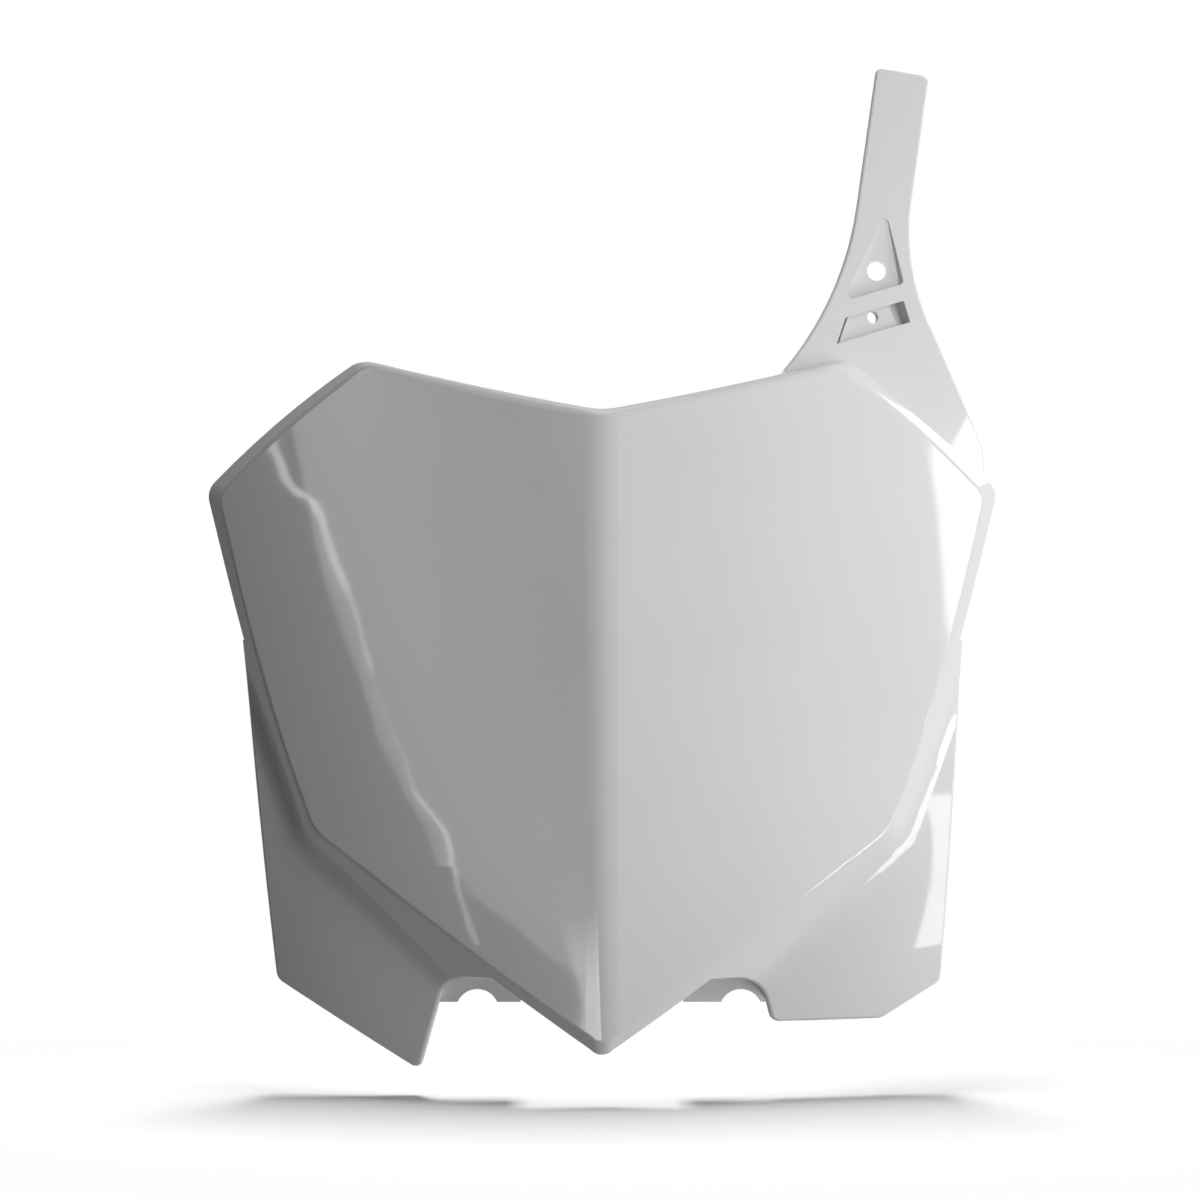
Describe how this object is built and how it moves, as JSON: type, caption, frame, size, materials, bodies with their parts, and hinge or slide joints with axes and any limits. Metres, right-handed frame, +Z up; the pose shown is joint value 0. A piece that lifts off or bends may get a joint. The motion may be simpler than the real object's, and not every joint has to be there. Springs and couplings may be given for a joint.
{
  "type": "motorbike front number board",
  "caption": "One-piece moulded plastic front number board with a ridged shield, set-back lower wings, saddles behind and a fastening strap at its upper right.",
  "frame": {"origin": "on the shield's middle plane, midway between the two saddles that rest on the fork clamp, level with the tops of their notches and at the middle of their thickness", "axes": "+Z up along the ridge, +X to the right as seen from the front, +Y from the front face towards the back"},
  "size_m": [0.2914, 0.1009, 0.3698],
  "materials": {
    "white_polypropylene": "glossy injection-moulded white"
  },
  "bodies": {
    "root": {"number_board": "white_polypropylene"}
  },
  "joints": []
}
